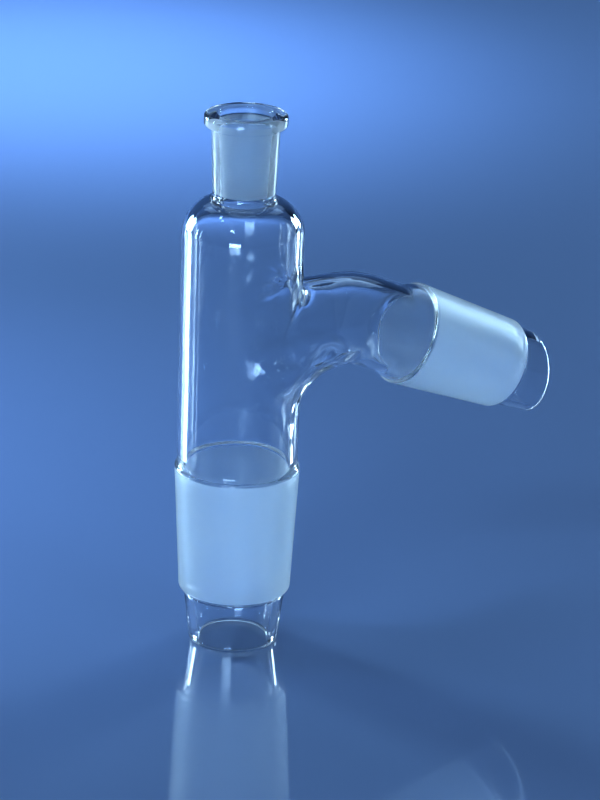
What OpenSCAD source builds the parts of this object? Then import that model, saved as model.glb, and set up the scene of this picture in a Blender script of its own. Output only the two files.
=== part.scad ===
// Distillation head: one piece of blown borosilicate glass.
// A straight vapour tube with a flanged ground socket for a thermometer on
// top, a ground cone with a clear drip tip below, and a side arm that leaves
// the tube at a right angle, bends down and ends in a second ground cone.
// The origin is the centre of the lower cone's big end, where the head seats
// in a flask. +Z runs up the vapour tube and the side arm points to +X.

/* [Vapour tube] */
// Outer radius of the vapour tube
tube_r = 16.65; // [15.9:0.05:17.0]
// Wall of the vapour tube
tube_wall = 2.4; // [2:0.1:2.6]
// Height at which the rounded shoulder starts
shoulder_z = 66.9; // [62:0.5:80]
// Radius of the rounded shoulder
shoulder_r = 10.35; // [9.6:0.05:11.4]

/* [Lower cone] */
// Big-end radius of the lower ground cone
cone_r = 17.25; // [17.15:0.05:17.5]
// Ground length of the lower cone
cone_len = 34.4; // [30:0.2:40]
// Wall of the lower cone
cone_wall = 2.6; // [2.3:0.1:2.8]
// Length of the clear drip tip under the lower cone
tip_len = 16.9; // [12:0.1:22]
// Outer radius of the drip tip at its rim
tip_rim_r = 12.45; // [11.8:0.05:13]
// Outer radius of the drip tip where it leaves the cone
tip_top_r = 14.1; // [13.7:0.05:14.4]
// Opening radius at the rim
tip_bore_r = 9.75; // [9.3:0.05:10.2]

/* [Thermometer socket] */
// Big-end radius of the ground socket
socket_r = 7.25; // [7:0.05:7.4]
// Ground length of the socket
socket_len = 20; // [18:0.5:20.5]
// Outer radius of the socket's wall at its foot
neck_r = 8.5; // [8.3:0.05:8.8]
// Outer radius of the socket's wall just under the flange
neck_top_r = 9.24; // [9:0.02:9.5]
// Outer radius of the flange
flange_r = 11.3; // [11:0.05:12]
// Height of the flange
flange_h = 3.7; // [3.4:0.1:4.2]
// Height of the flange's top face above the origin
top_z = 100.7; // [100:0.1:104]

/* [Side arm] */
// Height at which the side arm leaves the vapour tube
arm_z = 38.6; // [36:0.2:44]
// Outer radius of the side arm's tube
arm_r = 12.67; // [12.3:0.01:12.8]
// Wall of the side arm
arm_wall = 2.2; // [1.9:0.1:2.4]
// Fall of the side arm below the horizontal, in degrees
arm_fall = 23.2; // [10:0.2:30]
// Distance from the axis to the point at which the arm's axis turns down
arm_turn_x = 35.1; // [34.5:0.1:40]
// Radius of the arm's bend
arm_bend_r = 18; // [15:0.5:20]
// Distance from that point to the side cone's big end
arm_reach = 19.2; // [15:0.1:30]
// Big-end radius of the side cone
side_r = 14.6; // [14.5:0.05:14.8]
// Ground length of the side cone
side_len = 33; // [30:0.2:38]
// Wall of the side cone
side_wall = 2.3; // [2:0.1:2.5]
// Length of the clear tip beyond the side cone, along its axis
side_tip_len = 12.1; // [9:0.1:16]
// Outer radius of the side tip at its rim
side_tip_r = 10.8; // [10.4:0.05:11.2]
// Slant of the side tip's end, in degrees
side_tip_slant = 15; // [0:1:20]

/* [Branch] */
// Fillet on the tube over the arm
fillet_top = 3.0; // [2.6:0.1:4]
// Fillet on the tube under the arm
fillet_bottom = 12.0; // [8:0.2:13]
// Fillet along the arm on its upper side
sweep_top = 3.6; // [3:0.1:5]
// Fillet along the arm on its lower side
sweep_bottom = 17.6; // [12:0.2:18]

/* [Hidden] */
$fn = 96;
// ground joints taper 1 in 10 on the diameter
taper = 1 / 20;
rim_z = -(cone_len + tip_len);
cone_end_r = cone_r - taper * cone_len;
bore_r = tube_r - tube_wall;
arm_bore_r = arm_r - arm_wall;
side_end_r = side_r - taper * side_len;
flange_z = top_z - flange_h;
ground_top_z = flange_z + 1.4;
ground_foot_z = ground_top_z - socket_len;
foot_bore_r = socket_r - taper * socket_len;
bend_run = arm_bend_r * tan(arm_fall / 2);
// the socket's mouth, above its ground part, and the rounding of its lip
mouth_r = socket_r + 0.15;
lip_r = 0.65;
eps = 0.02;

// points on a circle from one angle to another
function arc(c, r, a, b, n) =
    [for (i = [0:n]) c + r * [cos(a + (b - a) * i / n), sin(a + (b - a) * i / n)]];
// points on an ellipse's quarter, or any part of one
function oval(c, rx, ry, a, b, n) =
    [for (i = [0:n]) c + [rx * cos(a + (b - a) * i / n), ry * sin(a + (b - a) * i / n)]];
// an S-shaped run from one radius to another, [radius, height] at both ends
function swell(p, q, n) =
    [for (i = [0:n]) let(t = i / n, s = t * t * (3 - 2 * t)) [p[0] + (q[0] - p[0]) * s, p[1] + (q[1] - p[1]) * t]];

// ---- straight part, about Z ----

// concave foot of the socket: the centre of the fillet between neck and shoulder
foot_fillet = 1.5;
shoulder_c = [tube_r - shoulder_r, shoulder_z];
foot_c = [neck_r + foot_fillet, shoulder_z + sqrt(pow(shoulder_r + foot_fillet, 2) - pow(neck_r + foot_fillet - shoulder_c[0], 2))];
foot_a = atan2(foot_c[1] - shoulder_c[1], foot_c[0] - shoulder_c[0]);

module straight_outside() {
    rotate_extrude() polygon(concat(
        [[0, rim_z]],
        // fire-polished rim of the drip tip
        arc([tip_rim_r - 1.1, rim_z + 1.1], 1.1, -90, 0, 6),
        // rounded end of the ground cone, the cone, and its rounded upper edge
        oval([tip_top_r, -cone_len], cone_end_r - tip_top_r, 1.8, -90, 0, 6),
        oval([tube_r, 0], cone_r - tube_r, 0.9, 0, 90, 5),
        // shoulder, foot fillet, socket wall
        arc(shoulder_c, shoulder_r, 0, foot_a, 14),
        [for (p = arc(foot_c, foot_fillet, 180 + foot_a, 180, 6)) if (p[1] > shoulder_c[1]) p],
        // flange with rounded edges
        arc([neck_top_r + 0.8, flange_z - 0.8], 0.8, 180, 90, 5),
        arc([flange_r - 1.1, flange_z + 1.1], 1.1, -90, 0, 6),
        arc([flange_r - 1.2, top_z - 1.2], 1.2, 0, 90, 6),
        [[0, top_z]]
    ));
}

// inside of the shoulder, on the same centre as the outside
inner_shoulder_r = shoulder_r - tube_wall;

module straight_inside() {
    rotate_extrude() polygon(concat(
        [[0, rim_z - 1]],
        [[tip_bore_r + 0.9, rim_z - 1]],
        arc([tip_bore_r + 0.9, rim_z + 0.9 - eps], 0.9, -90, -180, 5),
        // drip tip, then out to the cone's bore and the tube's bore
        swell([tip_top_r - 2.4, -cone_len - 2.5], [cone_end_r - cone_wall, -cone_len + 3.5], 8),
        swell([cone_r - cone_wall - 0.1, -3], [bore_r, 3], 6),
        arc(shoulder_c, inner_shoulder_r, 0, 80, 12),
        // throat and ground socket, opened out at the lip
        [[foot_bore_r + 0.5, shoulder_z + inner_shoulder_r + 0.25]],
        [[foot_bore_r, shoulder_z + inner_shoulder_r + 0.9]],
        [[foot_bore_r, ground_foot_z]],
        [[socket_r, ground_top_z]],
        arc([mouth_r + lip_r, top_z - lip_r + eps], lip_r, 180, 90, 6),
        [[mouth_r + lip_r, top_z + 1]],
        [[0, top_z + 1]]
    ));
}

// ---- side arm ----

// places its child at the side cone's big end, with +Z along the arm's axis
module at_side_cone() {
    translate([arm_turn_x + arm_reach * cos(arm_fall), 0, arm_z - arm_reach * sin(arm_fall)])
        rotate([0, 90 + arm_fall, 0]) children();
}

// a length of round tube from inside the vapour tube, round the bend, to the end of the straight
module arm_sweep(r) {
    translate([2, 0, arm_z]) rotate([0, 90, 0]) cylinder(r = r, h = arm_turn_x - bend_run - 2);
    translate([arm_turn_x - bend_run, 0, arm_z - arm_bend_r]) rotate([90, 0, 0]) rotate([0, 0, 90 - arm_fall])
        rotate_extrude(angle = arm_fall) translate([arm_bend_r, 0]) circle(r = r);
}

module side_cone_outside() {
    back = arm_reach - bend_run;
    intersection() {
        at_side_cone() rotate_extrude() polygon(concat(
            [[0, -back]],
            [[arm_r, -back]],
            // the tube swells to the cone's rounded upper edge
            swell([arm_r, -6], [side_r - 0.75, -1.1], 6),
            oval([side_r - 0.7, 0], 0.7, 0.9, -90, 0, 5),
            // rounded end of the ground cone, then the clear tip
            oval([side_tip_r + 0.75, side_len], side_end_r - side_tip_r - 0.75, 1.6, 0, 90, 6),
            [[side_tip_r, side_len + side_tip_len + 4]],
            [[0, side_len + side_tip_len + 4]]
        ));
        // slanted end: the lower side of the tip is the longer
        at_side_cone() translate([0, 0, side_len + side_tip_len]) rotate([0, -side_tip_slant, 0])
            translate([-40, -40, -120]) cube([80, 80, 120]);
    }
}

module side_cone_inside() {
    back = arm_reach - bend_run;
    at_side_cone() rotate_extrude() polygon(concat(
        [[0, -back]],
        [[arm_bore_r, -back]],
        swell([arm_bore_r, -6], [side_r - side_wall, 0], 6),
        swell([side_end_r - side_wall, side_len - 3], [side_tip_r - 1.2, side_len + 2.5], 7),
        [[side_tip_r - 1.9, side_len + side_tip_len + 6]],
        [[0, side_len + side_tip_len + 6]]
    ));
}

// ---- branch between tube and arm ----

// One half-plane through the arm's axis, at angle p from straight up: a point
// inside the tube, the drawn fillet from the tube's wall to the arm's, and a
// point inside the arm, as [distance from the tube's axis, distance from the
// arm's axis].
function fillet_line(rt, ra, f, g, p, n) = let(
    r1 = ra + f,
    xs = sqrt(rt * rt - pow(r1 * sin(p), 2)),
    xc = xs + r1 * pow(sin(p), 2) / xs * f,
    s = [xs, r1], c = [xc, ra], e = [xc + g, ra],
    a = s + 0.6 * (c - s), b = e + 0.6 * (c - e)
) [for (i = [0:n]) let(t = i / n, u = 1 - t) u * u * u * s + 3 * u * u * t * a + 3 * u * t * t * b + t * t * t * e];

// thickness is 0 for the outside and the wall for the inside
module branch_fillet(rt, ra, thickness) {
    turns = 60;
    steps = 9;
    function size(top, bottom, k, p) = let(s = (1 - cos(p)) / 2) top + (bottom - top) * pow(s, k) + thickness * pow(cos(p), 2);
    // at the sides the fillet stops short of the tube's outermost line
    function room(p) = 0.94 * rt / max(abs(sin(p)), 0.05) - ra;
    function lesser(a, b) = pow(pow(a, -8) + pow(b, -8), -1 / 8);
    rows = [for (i = [0:turns - 1]) let(p = 360 * i / turns)
        [for (q = fillet_line(rt, ra, lesser(size(fillet_top, fillet_bottom, 4, p), room(p)), size(sweep_top, sweep_bottom, 1.5, p), p, steps))
            [q[0], q[1] * sin(p), arm_z + q[1] * cos(p)]]];
    w = steps + 1;
    points = concat([[2, 0, arm_z], [24, 0, arm_z]], [for (r = rows) each r]);
    function at(i, j) = 2 + (i % turns) * w + j;
    faces = [for (i = [0:turns - 1]) each concat(
        [[0, at(i, 0), at(i + 1, 0)]],
        [for (j = [0:steps - 1]) each [[at(i, j), at(i, j + 1), at(i + 1, j + 1)], [at(i, j), at(i + 1, j + 1), at(i + 1, j)]]],
        [[1, at(i + 1, steps), at(i, steps)]]
    )];
    polyhedron(points = points, faces = faces);
}

module still_head() {
    color([0.82, 0.90, 0.96, 0.45]) difference() {
        union() {
            straight_outside();
            arm_sweep(arm_r);
            side_cone_outside();
            branch_fillet(tube_r - 0.2, arm_r - 0.16, 0);
        }
        union() {
            straight_inside();
            arm_sweep(arm_bore_r);
            side_cone_inside();
            branch_fillet(bore_r - 0.2, arm_bore_r - 0.16, arm_wall);
        }
    }
}

still_head();
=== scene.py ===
import math

import bmesh
import bpy
import numpy as np
from mathutils import Matrix, Vector, noise as mnoise


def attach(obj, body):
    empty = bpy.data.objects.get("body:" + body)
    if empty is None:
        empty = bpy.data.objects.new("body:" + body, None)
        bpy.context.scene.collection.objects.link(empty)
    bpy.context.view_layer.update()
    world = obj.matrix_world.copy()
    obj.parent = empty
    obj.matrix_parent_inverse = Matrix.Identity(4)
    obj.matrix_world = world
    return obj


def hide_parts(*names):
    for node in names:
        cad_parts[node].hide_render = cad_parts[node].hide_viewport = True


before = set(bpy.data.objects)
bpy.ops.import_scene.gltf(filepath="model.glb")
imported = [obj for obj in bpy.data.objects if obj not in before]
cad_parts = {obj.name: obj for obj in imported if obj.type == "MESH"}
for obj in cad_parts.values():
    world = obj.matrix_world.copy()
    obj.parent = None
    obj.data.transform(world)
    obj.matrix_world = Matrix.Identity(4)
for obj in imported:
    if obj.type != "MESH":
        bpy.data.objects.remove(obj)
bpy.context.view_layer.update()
scene = bpy.context.scene
MM = 0.001

# ---------------------------------------------------------------- sizes, mm
# The same sizes as the CAD solid's. z = 0 is the lower cone's big end.
TUBE_R, BORE_R, SHOULDER_Z, SHOULDER_R = 16.65, 14.25, 66.9, 10.35
WALL = 2.4
CONE_R, CONE_END_R, CONE_LEN, CONE_WALL = 17.25, 15.53, 34.4, 2.6
TIP_LEN, TIP_RIM_R, TIP_TOP_R, TIP_BORE_R = 16.9, 12.45, 14.1, 9.75
RIM_Z = -(CONE_LEN + TIP_LEN)
SOCKET_R, NECK_R, NECK_TOP_R, FLANGE_R = 7.25, 8.5, 9.24, 11.3
LIP = 0.65
FLANGE_Z, TOP_Z, GROUND_TOP_Z, GROUND_FOOT_Z, FOOT_BORE_R = 97.0, 100.7, 98.4, 78.4, 6.25
ARM_Z, ARM_R, ARM_BORE_R, ARM_WALL = 38.6, 12.67, 10.47, 2.2
FALL, TURN_X, BEND_R, REACH = math.radians(23.2), 35.1, 18.0, 19.2
BEND_RUN = BEND_R * math.tan(FALL / 2)
BEND_U = TURN_X - BEND_RUN                 # where the bend starts, along the arm's axis
BEND_END_U = BEND_U + BEND_R * FALL
GAUGE_U = BEND_END_U + REACH - BEND_RUN    # the side cone's big end
SIDE_R, SIDE_END_R, SIDE_LEN, SIDE_WALL = 14.6, 12.95, 33.0, 2.3
SIDE_TIP_LEN, SIDE_TIP_R, SLANT = 12.1, 10.8, math.radians(15)
FILLET_TOP, FILLET_BOTTOM, SWEEP_TOP, SWEEP_BOTTOM = 3.0, 12.0, 3.6, 17.6

CLEAR_GLASS, GROUND_GLASS = 0, 1


# ---------------------------------------------------------------- outlines
def arc(c, r, a, b, n):
    return oval(c, r, r, a, b, n)


def oval(c, rx, ry, a, b, n):
    t = np.radians(np.linspace(a, b, n + 1))
    return [(c[0] + rx * math.cos(x), c[1] + ry * math.sin(x)) for x in t]


def swell(p, q, n):
    t = np.linspace(0, 1, n + 1)
    s = t * t * (3 - 2 * t)
    return [(p[0] + (q[0] - p[0]) * b, p[1] + (q[1] - p[1]) * a) for a, b in zip(t, s)]


def line(p, q, n):
    t = np.linspace(0, 1, n + 1)
    return [(p[0] + (q[0] - p[0]) * a, p[1] + (q[1] - p[1]) * a) for a in t]


class Outline:
    """Points (radius, height) in order, each with the finish of the face strip that starts at it."""

    def __init__(self):
        self.p, self.finish = [], []

    def add(self, points, finish=CLEAR_GLASS):
        for q in points:
            if self.p and abs(self.p[-1][0] - q[0]) + abs(self.p[-1][1] - q[1]) < 1e-4:
                self.finish[-1] = finish
                continue
            self.p.append(tuple(q))
            self.finish.append(finish)
        return self

    def mark(self):
        return len(self.p) - 1


# ---------------------------------------------------------------- patches
faces_xyz, faces_mat, faces_in = [], [], []     # each quad as 4 points, its finish, and whether it faces the bore


def add_grid(grid, finish_rows, closed, skip=None, bore_side=False):
    """grid[i][j] points: rows i, columns j. finish_rows[i] is the finish between rows i and i + 1."""
    rows, cols = grid.shape[:2]
    js = range(cols if closed else cols - 1)
    for i in range(rows - 1):
        for j in js:
            if skip is not None and skip(i, j):
                continue
            k = (j + 1) % cols
            faces_xyz.append((grid[i, j], grid[i, k], grid[i + 1, k], grid[i + 1, j]))
            faces_mat.append(finish_rows[i] if np.ndim(finish_rows) else finish_rows)
            faces_in.append(bore_side)


def on_tube(r, theta, z):
    return np.stack([r * np.cos(theta), r * np.sin(theta), z], -1)


def on_arm(u, r, p):
    """The point at distance r from the arm's axis, u along it, and angle p from its upper side towards +Y."""
    u, r, p = np.broadcast_arrays(*(np.asarray(v, float) for v in (u, r, p)))
    a = np.clip((u - BEND_U) / BEND_R, 0, FALL)
    past = np.maximum(u - BEND_END_U, 0)
    x = np.minimum(u, BEND_U) + BEND_R * np.sin(a) + past * math.cos(FALL)
    z = ARM_Z - BEND_R * (1 - np.cos(a)) - past * math.sin(FALL)
    side, up = r * np.sin(p), r * np.cos(p)
    return np.stack([x + up * np.sin(a), side, z + up * np.cos(a)], -1)


# The main tube is turned in N_ROUND columns. A window in its wall, W_COLS
# columns wide, is filled by the patch that runs into the side arm.
N_ROUND, W_COLS, W_ROWS = 120, 60, 36
W_LOW, W_HIGH = 6.0, 61.5
step = 2 * math.pi / N_ROUND
thetas = (np.arange(N_ROUND) - W_COLS // 2) * step       # the window is columns 0..W_COLS

outline = Outline()
# outside, from the rim up
outline.add(line((TIP_BORE_R + 0.9, RIM_Z), (TIP_RIM_R - 1.1, RIM_Z), 1))
outline.add(arc((TIP_RIM_R - 1.1, RIM_Z + 1.1), 1.1, -90, 0, 8))
outline.add(line((TIP_RIM_R, RIM_Z + 1.1), (TIP_TOP_R, -CONE_LEN - 1.8 * 0.98), 10))
outline.add(oval((TIP_TOP_R, -CONE_LEN), CONE_END_R - TIP_TOP_R, 1.8, -80, -32, 6))
outline.add(oval((TIP_TOP_R, -CONE_LEN), CONE_END_R - TIP_TOP_R, 1.8, -32, 0, 5), GROUND_GLASS)
outline.add(line((CONE_END_R, -CONE_LEN), (CONE_R, 0), 16), GROUND_GLASS)
outline.add(oval((TUBE_R, 0), CONE_R - TUBE_R, 0.9, 0, 90, 8))
outline.add(line((TUBE_R, 0.9), (TUBE_R, W_LOW), 3))
out_w0 = outline.mark()
outline.add(line((TUBE_R, W_LOW), (TUBE_R, W_HIGH), W_ROWS))
out_w1 = outline.mark()
shoulder_c = (TUBE_R - SHOULDER_R, SHOULDER_Z)
foot = 1.5
foot_c = (NECK_R + foot, SHOULDER_Z + math.sqrt((SHOULDER_R + foot) ** 2 - (NECK_R + foot - shoulder_c[0]) ** 2))
foot_a = math.degrees(math.atan2(foot_c[1] - shoulder_c[1], foot_c[0] - shoulder_c[0]))
outline.add(line((TUBE_R, W_HIGH), (TUBE_R, SHOULDER_Z), 3))
outline.add(arc(shoulder_c, SHOULDER_R, 0, foot_a, 24))
outline.add(arc(foot_c, foot, 180 + foot_a, 180, 8))
outline.add(line((NECK_R, foot_c[1]), (NECK_TOP_R, FLANGE_Z - 0.8), 12))
outline.add(arc((NECK_TOP_R + 0.8, FLANGE_Z - 0.8), 0.8, 180, 90, 6))
outline.add(arc((FLANGE_R - 1.1, FLANGE_Z + 1.1), 1.1, -90, 0, 7))
outline.add(arc((FLANGE_R - 1.2, TOP_Z - 1.2), 1.2, 0, 90, 8))
# inside, from the lip down
outline.add(arc((SOCKET_R + LIP + 0.15, TOP_Z - LIP), LIP, 90, 180, 8))
outline.add(line((SOCKET_R + 0.15, TOP_Z - LIP), (SOCKET_R, GROUND_TOP_Z), 3))
outline.add(line((SOCKET_R, GROUND_TOP_Z), (FOOT_BORE_R, GROUND_FOOT_Z), 14), GROUND_GLASS)
in_shoulder = SHOULDER_R - WALL
outline.add(line((FOOT_BORE_R, GROUND_FOOT_Z), (FOOT_BORE_R, SHOULDER_Z + in_shoulder + 1.0), 3))
outline.add(arc((FOOT_BORE_R + 1.0, SHOULDER_Z + in_shoulder + 1.0), 1.0, 180, 262, 7))
outline.add(arc(shoulder_c, in_shoulder, 80, 0, 22))
outline.add(line((BORE_R, SHOULDER_Z), (BORE_R, W_HIGH), 3))
in_w0 = outline.mark()
outline.add(line((BORE_R, W_HIGH), (BORE_R, W_LOW), W_ROWS))
in_w1 = outline.mark()
outline.add(line((BORE_R, W_LOW), (BORE_R, 3), 2))
outline.add(swell((BORE_R, 3), (CONE_R - CONE_WALL - 0.1, -3), 8))
outline.add(line((CONE_R - CONE_WALL - 0.1, -3), (CONE_END_R - CONE_WALL, -CONE_LEN + 3.5), 14))
outline.add(swell((CONE_END_R - CONE_WALL, -CONE_LEN + 3.5), (TIP_TOP_R - 2.4, -CONE_LEN - 2.5), 9))
outline.add(line((TIP_TOP_R - 2.4, -CONE_LEN - 2.5), (TIP_BORE_R, RIM_Z + 0.9), 10))
outline.add(arc((TIP_BORE_R + 0.9, RIM_Z + 0.9), 0.9, 180, 270, 6))

prof = np.array(outline.p)
if np.abs(prof[0] - prof[-1]).sum() < 1e-3:
    prof = prof[:-1]
    outline.finish = outline.finish[:-1]
rows = np.vstack([prof, prof[:1]])
turned = on_tube(rows[:, :1], thetas[None, :], np.repeat(rows[:, 1:], N_ROUND, 1))
in_window = lambda i, j: j < W_COLS and (out_w0 <= i < out_w1 or in_w0 <= i < in_w1)
add_grid(turned, outline.finish, True, in_window)

# ---------------------------------------------------------------- round the window
half_w = W_COLS // 2
z_rows = np.linspace(W_LOW, W_HIGH, W_ROWS + 1)
t_cols = np.arange(-half_w, half_w + 1) * step
edge = (
    [(t, W_HIGH) for t in t_cols[half_w:-1]]
    + [(t_cols[-1], z) for z in z_rows[:0:-1]]
    + [(t, W_LOW) for t in t_cols[:0:-1]]
    + [(t_cols[0], z) for z in z_rows[:-1]]
    + [(t, W_HIGH) for t in t_cols[:half_w]]
)
edge = np.array(edge)
turn = np.unwrap(np.arctan2(edge[:, 0] * TUBE_R, edge[:, 1] - ARM_Z))      # angle round the arm's axis
N_ARM = len(turn)


def fillet_lines(rt, ra, thick, n):
    """For each turn, the fillet's n + 1 points (u along the arm, distance from its axis), from the tube's wall to the arm's."""
    c = np.cos(turn)
    ease = (1 - c) / 2
    f = FILLET_TOP + (FILLET_BOTTOM - FILLET_TOP) * ease ** 4 + thick * c ** 2
    room = 0.94 * rt / np.maximum(np.abs(np.sin(turn)), 0.05) - ra
    f = (f ** -8 + room ** -8) ** (-1 / 8)
    g = SWEEP_TOP + (SWEEP_BOTTOM - SWEEP_TOP) * ease ** 1.5
    r1 = ra + f
    xs = np.sqrt(rt ** 2 - (r1 * np.sin(turn)) ** 2)
    xc = xs + r1 * np.sin(turn) ** 2 / xs * f
    s, k, e = np.stack([xs, r1], -1), np.stack([xc, ra + 0 * xc], -1), np.stack([xc + g, ra + 0 * xc], -1)
    a, b = s + 0.6 * (k - s), e + 0.6 * (k - e)
    t = np.linspace(0, 1, n + 1)[:, None, None]
    return s * (1 - t) ** 3 + 3 * a * t * (1 - t) ** 2 + 3 * b * t * t * (1 - t) + e * t ** 3


def junction(rt, ra, thick, bore_side):
    """The patch from the window's edge to the arm. Returns the u at which each column reaches the arm."""
    lines = fillet_lines(rt, ra, thick, 18)
    hole_t = np.arcsin(lines[0, :, 1] * np.sin(turn) / rt)
    hole_z = ARM_Z + lines[0, :, 1] * np.cos(turn)
    n = 12
    t = np.linspace(0, 1, n + 1)[:, None] ** 0.85
    th, z = edge[:, 0] + (hole_t - edge[:, 0]) * t, edge[:, 1] + (hole_z - edge[:, 1]) * t
    add_grid(on_tube(rt, th, z), CLEAR_GLASS, True, bore_side=bore_side)
    add_grid(on_arm(lines[:, :, 0], lines[:, :, 1], turn[None, :]), CLEAR_GLASS, True, bore_side=bore_side)
    return lines[-1, :, 0]


out_u = junction(TUBE_R, ARM_R, 0.0, False)
in_u = junction(BORE_R, ARM_BORE_R, ARM_WALL, True)

# ---------------------------------------------------------------- the arm, the side cone and its tip
JOIN_U = 41.0
t = np.linspace(0, 1, 11)[:, None]
add_grid(on_arm(out_u + (JOIN_U - out_u) * t, ARM_R, turn[None, :]), CLEAR_GLASS, True)
add_grid(on_arm(in_u + (JOIN_U - in_u) * t, ARM_BORE_R, turn[None, :]), CLEAR_GLASS, True, bore_side=True)

cone = Outline()
cone.add(line((ARM_R, JOIN_U - GAUGE_U), (ARM_R, -6), 6))
cone.add(swell((ARM_R, -6), (SIDE_R - 0.75, -1.1), 9))
cone.add(oval((SIDE_R - 0.7, 0), 0.7, 0.9, -85, 0, 7))
cone.add(line((SIDE_R, 0), (SIDE_END_R, SIDE_LEN), 16), GROUND_GLASS)
shelf = SIDE_END_R - SIDE_TIP_R - 0.75
cone.add(oval((SIDE_TIP_R + 0.75, SIDE_LEN), shelf, 1.6, 0, 28, 4), GROUND_GLASS)
cone.add(oval((SIDE_TIP_R + 0.75, SIDE_LEN), shelf, 1.6, 28, 84, 6))
outer_rows = np.array(cone.p)
grid = on_arm(GAUGE_U + outer_rows[:, 1:], outer_rows[:, :1], turn[None, :])
add_grid(grid, cone.finish, True)

bore = Outline()
bore.add(line((ARM_BORE_R, JOIN_U - GAUGE_U), (ARM_BORE_R, -6), 6))
bore.add(swell((ARM_BORE_R, -6), (SIDE_R - SIDE_WALL, 0), 10))
bore.add(line((SIDE_R - SIDE_WALL, 0), (SIDE_END_R - SIDE_WALL, SIDE_LEN - 3), 14))
bore.add(swell((SIDE_END_R - SIDE_WALL, SIDE_LEN - 3), (SIDE_TIP_R - 1.2, SIDE_LEN + 2.5), 9))
inner_rows = np.array(bore.p)
add_grid(on_arm(GAUGE_U + inner_rows[:, 1:], inner_rows[:, :1], turn[None, :]), CLEAR_GLASS, True, bore_side=True)

# the slanted, fire-polished end
slope = math.tan(SLANT)
lip = 0.85


def end_at(r):
    return SIDE_LEN + SIDE_TIP_LEN - r * np.cos(turn) * slope


s0, r0 = outer_rows[-1, 1], outer_rows[-1, 0]
s1, r1 = inner_rows[-1, 1], inner_rows[-1, 0]
out_r = lambda s: r0 + (SIDE_TIP_R - r0) * (s - s0) / (SIDE_LEN + SIDE_TIP_LEN + 4 - s0)
in_r = lambda s: r1 + (SIDE_TIP_R - 1.9 - r1) * (s - s1) / (SIDE_LEN + SIDE_TIP_LEN + 6 - s1)
out_end, in_end = end_at(10.95) - lip, end_at(9.15) - lip
t = np.linspace(0, 1, 11)[:, None]
s = s0 + (out_end - s0) * t
add_grid(on_arm(GAUGE_U + s, out_r(s), turn[None, :]), CLEAR_GLASS, True)
s = s1 + (in_end - s1) * t
add_grid(on_arm(GAUGE_U + s, in_r(s), turn[None, :]), CLEAR_GLASS, True)
a = np.linspace(0, math.pi, 11)[:, None]
ra, rb = out_r(out_end), in_r(in_end)
r = (ra + rb) / 2 + (ra - rb) / 2 * np.cos(a)
s = (out_end + in_end) / 2 + (out_end - in_end) / 2 * np.cos(a) + lip * np.sin(a)
add_grid(on_arm(GAUGE_U + s, r, turn[None, :]), CLEAR_GLASS, True)

# ---------------------------------------------------------------- one mesh
quads = np.array(faces_xyz).reshape(-1, 3)
keys = np.round(quads / 2e-4).astype(np.int64)
_, first, index = np.unique(keys, axis=0, return_index=True, return_inverse=True)
index = index.reshape(-1, 4)
points = quads[first] * MM
bore_side = np.zeros(len(points), bool)
bore_side[index[np.array(faces_in)].ravel()] = True
good = [i for i, f in enumerate(index) if len(set(f)) == 4]
mesh = bpy.data.meshes.new("still_head_glass")
mesh.from_pydata(points.tolist(), [], index[good].tolist())
mesh.polygons.foreach_set("material_index", [faces_mat[i] for i in good])
bm = bmesh.new()
bm.from_mesh(mesh)
bm.verts.ensure_lookup_table()
bmesh.ops.recalc_face_normals(bm, faces=bm.faces)
open_edges = sum(1 for e in bm.edges if len(e.link_faces) != 2)
print("glass mesh:", len(bm.verts), "points,", len(bm.faces), "faces,", open_edges, "open edges, volume cm3",
      round(bm.calc_volume(signed=True) * 1e6, 3))


# Hand-worked glass isn't quite even: the wall wanders a little everywhere, and
# more where the arm was sealed on and bent.
def wander(co, scale, seed):
    return mnoise.noise(Vector((co.x / scale + seed, co.y / scale - seed, co.z / scale + 2 * seed)))


def creases(co, x, z, reach, count, seed):
    """Puckers that fan out from a point on the branch's middle line."""
    r = math.hypot(co.x - x, co.y, co.z - z)
    a = math.atan2(co.y, co.z - z)
    fade = math.exp(-(r / reach) ** 2) * min(1.0, r / 2.5)
    return fade * mnoise.noise(Vector((count * math.cos(a) + seed, count * math.sin(a), r / 7.0)))


def near(co, x, z, reach):
    d = math.hypot(co.x - x, co.z - z) / reach
    return math.exp(-d * d)


bm.normal_update()
moves = []
for v in bm.verts:
    co = v.co / MM
    inner = bool(bore_side[v.index])
    tube = math.hypot(co.x, co.y)
    on_bore = inner or (co.z > 3 and co.z < 66 and tube < 15.4 and co.x < 15.4)
    root = near(co, 17, 52, 6.5) + 0.8 * near(co, 14, 44, 9)
    knot = near(co, 26, 26, 8.5) + 0.7 * near(co, 17, 18, 8)
    bend = near(co, 36, 38, 13)
    d = 0.0
    if on_bore:
        d += 0.05 * wander(co, 16, 3.1)
        d += 0.60 * knot * wander(co, 3.6, 7.7) + 0.20 * root * wander(co, 3.8, 1.3) + 0.14 * bend * wander(co, 8, 5.2)
        d += 0.85 * creases(co, 15, 51, 9.5, 2.4, 0.4) + 0.95 * creases(co, 25, 25, 9.0, 3.2, 5.1)
    elif co.z > 1.5 and co.z < 70 and (tube > 15 or co.x > 15) and co.x < 50:
        d += 0.016 * wander(co, 18, 4.4)
        d += 0.12 * knot * wander(co, 4.8, 2.9) + 0.06 * root * wander(co, 4.5, 6.1) + 0.03 * bend * wander(co, 9, 8.8)
        d += 0.26 * creases(co, 16, 53, 9.0, 2.4, 3.3) + 0.36 * creases(co, 26, 22, 8.0, 3.2, 8.6)
    moves.append(v.normal * d * MM)
for v, m in zip(bm.verts, moves):
    v.co += m
bm.to_mesh(mesh)
bm.free()
for p in mesh.polygons:
    p.use_smooth = True
glass = bpy.data.objects.new("still_head_glass", mesh)
scene.collection.objects.link(glass)


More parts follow.
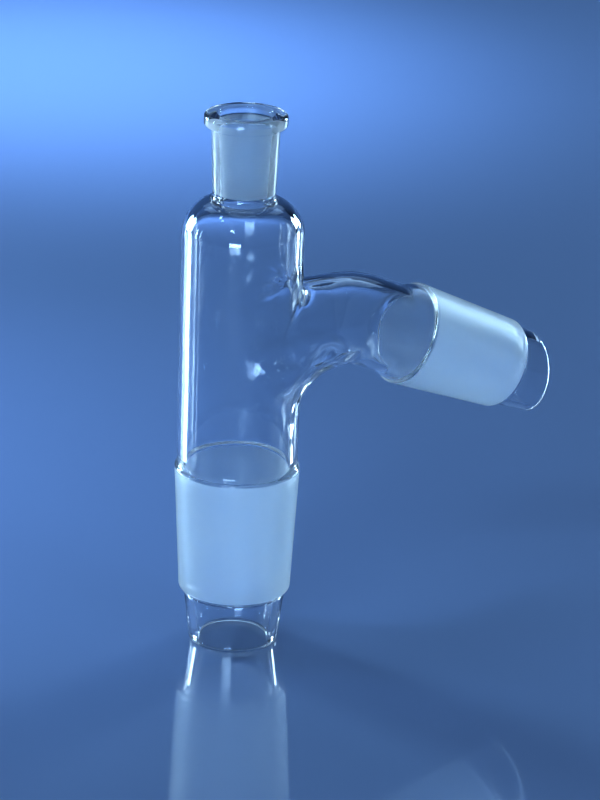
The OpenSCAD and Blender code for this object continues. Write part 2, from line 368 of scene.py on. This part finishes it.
# ---------------------------------------------------------------- materials
def new_material(name):
    m = bpy.data.materials.new(name)
    m.use_nodes = True
    return m, m.node_tree.nodes, m.node_tree.links, m.node_tree.nodes["Principled BSDF"]


def mottle(nodes, links, scale, detail, low, high, low_at=0.35, high_at=0.65):
    """A soft noise in the object's own coordinates, run between two values or two colours."""
    where = nodes.new("ShaderNodeTexCoord")
    tex = nodes.new("ShaderNodeTexNoise")
    tex.inputs["Scale"].default_value = scale
    tex.inputs["Detail"].default_value = detail
    links.new(where.outputs["Object"], tex.inputs["Vector"])
    ramp = nodes.new("ShaderNodeValToRGB")
    ramp.color_ramp.elements[0].position, ramp.color_ramp.elements[1].position = low_at, high_at
    as_rgba = lambda v: (v, v, v, 1) if np.ndim(v) == 0 else (*v, 1)
    ramp.color_ramp.elements[0].color, ramp.color_ramp.elements[1].color = as_rgba(low), as_rgba(high)
    links.new(tex.outputs["Fac"], ramp.inputs["Fac"])
    return ramp.outputs["Color"], tex.outputs["Fac"]


def dent(nodes, links, height, distance, strength, bsdf):
    bump = nodes.new("ShaderNodeBump")
    bump.inputs["Strength"].default_value = strength
    bump.inputs["Distance"].default_value = distance
    links.new(height, bump.inputs["Height"])
    links.new(bump.outputs["Normal"], bsdf.inputs["Normal"])


clear, nodes, links, bsdf = new_material("clear_glass")
tint, _ = mottle(nodes, links, 45, 2, (0.968, 0.982, 1.0), (0.982, 0.990, 1.0))
links.new(tint, bsdf.inputs["Base Color"])
bsdf.inputs["Roughness"].default_value = 0.0
bsdf.inputs["IOR"].default_value = 1.473
bsdf.inputs["Transmission Weight"].default_value = 1.0

ground, nodes, links, bsdf = new_material("ground_glass")
tint, _ = mottle(nodes, links, 160, 3, (0.87, 0.945, 1.0), (0.91, 0.965, 1.0))
links.new(tint, bsdf.inputs["Base Color"])
grain, fine = mottle(nodes, links, 2600, 2, 0.50, 0.60)
links.new(grain, bsdf.inputs["Roughness"])
dent(nodes, links, fine, 0.00004, 0.35, bsdf)
bsdf.inputs["IOR"].default_value = 1.473
bsdf.inputs["Transmission Weight"].default_value = 0.82

mesh.materials.append(clear)
mesh.materials.append(ground)

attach(glass, "root")
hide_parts("still_head")

# ---------------------------------------------------------------- camera
PSI = math.radians(29.893)
F_PX, ELEV, ROLL, TX, TY, DIST = 3560.94, math.radians(20.440), math.radians(1.859), -16.441, 8.856, 970.403
look = Vector((0, math.cos(ELEV), -math.sin(ELEV)))
right = Vector((1, 0, 0))
up = right.cross(look)
right, up = math.cos(ROLL) * right + math.sin(ROLL) * up, -math.sin(ROLL) * right + math.cos(ROLL) * up
place = Vector((0, 0, 80)) - DIST * look - TX * right - TY * up
spin = Matrix.Rotation(-PSI, 3, "Z")           # from the view's own frame to the row frame


def from_view(x, y, z):
    """Right, away and up from the rim's centre as the camera sees it, in metres, to the row frame."""
    return spin @ Vector((x, y, z)) + Vector((0, 0, RIM_Z * MM))


cam_data = bpy.data.cameras.new("camera")
cam = bpy.data.objects.new("camera", cam_data)
scene.collection.objects.link(cam)
cam_data.lens = F_PX * 36 / 800
cam_data.sensor_width = 36
cam_data.clip_start, cam_data.clip_end = 0.02, 30
axes = Matrix((spin @ right, spin @ up, -(spin @ look))).transposed()
cam.matrix_world = Matrix.Translation(from_view(*(place * MM))) @ axes.to_4x4()
scene.camera = cam

# ---------------------------------------------------------------- stage
bpy.ops.mesh.primitive_plane_add(size=12, location=(0, 0, RIM_Z * MM - 0.00005))
floor = bpy.context.object
floor.name = "floor"
paper, nodes, links, bsdf = new_material("floor_paper")
bsdf.inputs["Base Color"].default_value = (0.17, 0.26, 0.46, 1)
bsdf.inputs["Roughness"].default_value = 0.7
bsdf.inputs["Coat Weight"].default_value = 1.0
bsdf.inputs["Coat Roughness"].default_value = 0.06
bsdf.inputs["Coat IOR"].default_value = 1.6
noise = nodes.new("ShaderNodeTexNoise")
noise.inputs["Scale"].default_value = 900
bump = nodes.new("ShaderNodeBump")
bump.inputs["Strength"].default_value = 0.02
bump.inputs["Distance"].default_value = 0.0002
links.new(noise.outputs["Fac"], bump.inputs["Height"])
links.new(bump.outputs["Normal"], bsdf.inputs["Normal"])
floor.data.materials.append(paper)


# ---------------------------------------------------------------- light
def softbox(name, at, size, power, colour=(1, 1, 1), aim=(0.02, 0, 0.07)):
    data = bpy.data.lights.new(name, "AREA")
    data.shape = "RECTANGLE"
    data.size, data.size_y = size
    data.energy = power
    data.color = colour
    ob = bpy.data.objects.new(name, data)
    scene.collection.objects.link(ob)
    at, aim = from_view(*at), from_view(*aim)
    ob.location = at
    ob.rotation_mode = "QUATERNION"
    ob.rotation_quaternion = (aim - at).to_track_quat("-Z", "Y")
    ob.visible_camera = False
    return ob


COOL = (0.46, 0.71, 1.0)
PALE = (0.60, 0.84, 1.0)
softbox("top_box", (-0.05, 0.30, 0.9), (0.30, 0.30), 0.6, COOL)
softbox("back_box", (0.0, 1.35, 1.2), (1.8, 0.6), 4.0, COOL)
softbox("key_box", (-0.46, -1.0, 1.2), (0.18, 0.12), 2.2, PALE)
softbox("front_fill", (-0.30, -1.3, 0.16), (0.5, 0.26), 13, COOL)
for name, at, size, power in (("right_wash", (1.0, -0.8, 0.09), (0.5, 0.16), 15), ("left_wash", (-0.9, -1.0, 0.09), (0.5, 0.16), 7)):
    wash = softbox(name, at, size, power, COOL)     # for the ground areas alone: no image of it in the clear glass
    wash.visible_glossy = False
    wash.visible_transmission = False
softbox("left_strip", (-0.88, 0.74, 0.23), (0.26, 0.40), 10.0, PALE)
softbox("left_side", (-1.1, 0.1, 0.21), (0.05, 0.38), 2.0, PALE)
softbox("right_strip", (0.80, 0.98, 0.25), (0.20, 0.34), 8.0, PALE)


def pool(name, at, aim, power, cone):
    data = bpy.data.lights.new(name, "SPOT")
    data.energy, data.color, data.spot_size, data.spot_blend, data.shadow_soft_size = power, (0.44, 0.67, 1.0), math.radians(cone), 1.0, 0.1
    ob = bpy.data.objects.new(name, data)
    scene.collection.objects.link(ob)
    at, aim = from_view(*at), from_view(*aim)
    ob.location = at
    ob.rotation_mode = "QUATERNION"
    ob.rotation_quaternion = (aim - at).to_track_quat("-Z", "Y")


pool("far_pool", (-0.24, 0.80, 1.05), (-0.10, 0.60, 0), 118, 24)
pool("left_pool", (-0.50, 0.12, 0.95), (-0.20, 0.12, 0), 36, 29)

world = bpy.data.worlds.new("world")
scene.world = world
world.use_nodes = True
# a dim room with a soft blue glow low down behind the object, to the left
nodes, links = world.node_tree.nodes, world.node_tree.links
where = nodes.new("ShaderNodeTexCoord")
towards = nodes.new("ShaderNodeVectorMath")
towards.operation = "DOT_PRODUCT"
towards.inputs[1].default_value = spin @ Vector((-0.34, 0.92, 0.20))
links.new(where.outputs["Generated"], towards.inputs[0])
glow = nodes.new("ShaderNodeValToRGB")
glow.color_ramp.interpolation = "EASE"
glow.color_ramp.elements[0].position, glow.color_ramp.elements[1].position = 0.60, 0.98
glow.color_ramp.elements[0].color, glow.color_ramp.elements[1].color = (0.004, 0.008, 0.020, 1), (0.034, 0.082, 0.20, 1)
links.new(towards.outputs["Value"], glow.inputs["Fac"])
links.new(glow.outputs["Color"], nodes["Background"].inputs["Color"])
nodes["Background"].inputs["Strength"].default_value = 1.0

scene.cycles.use_denoising = True
scene.cycles.max_bounces = 24
scene.cycles.transmission_bounces = 24
scene.cycles.glossy_bounces = 12
scene.cycles.caustics_reflective = True
scene.cycles.caustics_refractive = True
scene.view_settings.view_transform = "Standard"
scene.view_settings.exposure, scene.view_settings.gamma = 0.22, 0.83
